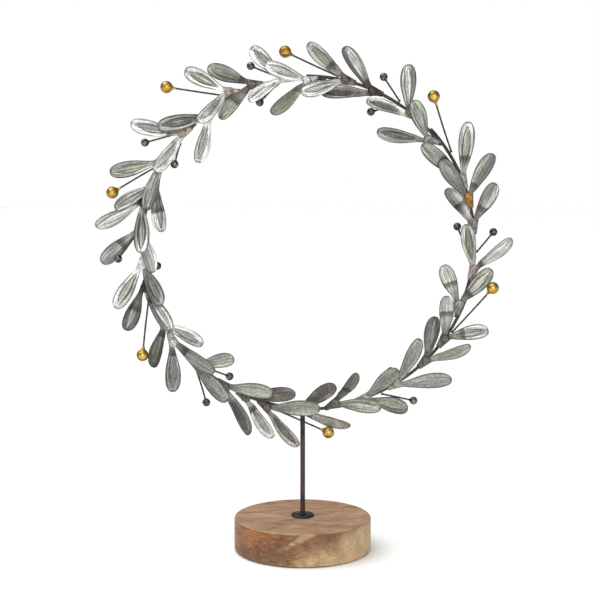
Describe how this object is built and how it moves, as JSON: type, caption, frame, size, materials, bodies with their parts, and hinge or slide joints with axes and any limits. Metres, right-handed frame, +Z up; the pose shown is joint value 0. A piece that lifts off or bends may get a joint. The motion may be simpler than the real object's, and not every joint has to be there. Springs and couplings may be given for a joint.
{
  "type": "wreath frame",
  "caption": "Standing metal wreath: stamped leaf pairs and ball berries brazed to a wire hoop, carried by a rod on a round wooden base.",
  "frame": {"origin": "centre of the underside of the felt pad, on the rod's axis", "axes": "+Z up along the rod; the front of the wreath faces -Y, so +X is the viewer's right"},
  "size_m": [0.4147, 0.139, 0.5099],
  "materials": {
    "wood": "oiled",
    "felt": "matt",
    "zinc": "satin",
    "rod_iron": "rusty",
    "dark_iron": "satin",
    "wire_iron": "satin",
    "leaf_steel": "galvanised",
    "braze": "dull",
    "gold_paint": "satin",
    "dark_steel": "polished"
  },
  "bodies": {
    "base": {"wood_base": "wood", "felt_pad": "felt", "washer": "zinc"},
    "wreath": {"nut": "zinc", "stand_rod": "rod_iron", "foot_plate": "dark_iron", "rod_braze": "braze", "stem_1": "wire_iron", "stem_2": "wire_iron", "stem_3": "wire_iron", "stem_4": "wire_iron", "stem_5": "wire_iron", "stem_6": "wire_iron", "stem_7": "wire_iron", "leaf_pair_01": "leaf_steel", "leaf_pair_02": "leaf_steel", "leaf_pair_03": "leaf_steel", "leaf_pair_04": "leaf_steel", "leaf_pair_05": "leaf_steel", "leaf_pair_06": "leaf_steel", "leaf_pair_07": "leaf_steel", "leaf_pair_08": "leaf_steel", "leaf_pair_09": "leaf_steel", "leaf_pair_10": "leaf_steel", "leaf_pair_11": "leaf_steel", "leaf_pair_12": "leaf_steel", "leaf_pair_13": "leaf_steel", "leaf_pair_14": "leaf_steel", "leaf_pair_15": "leaf_steel", "leaf_pair_16": "leaf_steel", "leaf_pair_17": "leaf_steel", "leaf_pair_18": "leaf_steel", "leaf_pair_19": "leaf_steel", "leaf_pair_20": "leaf_steel", "leaf_pair_21": "leaf_steel", "leaf_pair_22": "leaf_steel", "leaf_pair_23": "leaf_steel", "leaf_pair_24": "leaf_steel", "leaf_pair_25": "leaf_steel", "leaf_pair_26": "leaf_steel", "leaf_pair_27": "leaf_steel", "leaf_pair_28": "leaf_steel", "leaf_pair_29": "leaf_steel", "leaf_pair_30": "leaf_steel", "leaf_pair_31": "leaf_steel", "leaf_pair_32": "leaf_steel", "leaf_pair_33": "leaf_steel", "braze_beads": "braze", "gold_berry_1": "gold_paint", "gold_berry_2": "gold_paint", "gold_berry_3": "gold_paint", "gold_berry_4": "gold_paint", "gold_berry_5": "gold_paint", "gold_berry_6": "gold_paint", "gold_berry_7": "gold_paint", "gold_berry_wires": "wire_iron", "small_berries": "dark_steel", "small_berry_wires": "wire_iron"}
  },
  "joints": [
    {"name": "rod_turn", "type": "hinge", "parent": "base", "child": "wreath", "pos_m": [0, 0, 0.034], "axis": [0, 0, 1], "continuous": true}
  ]
}
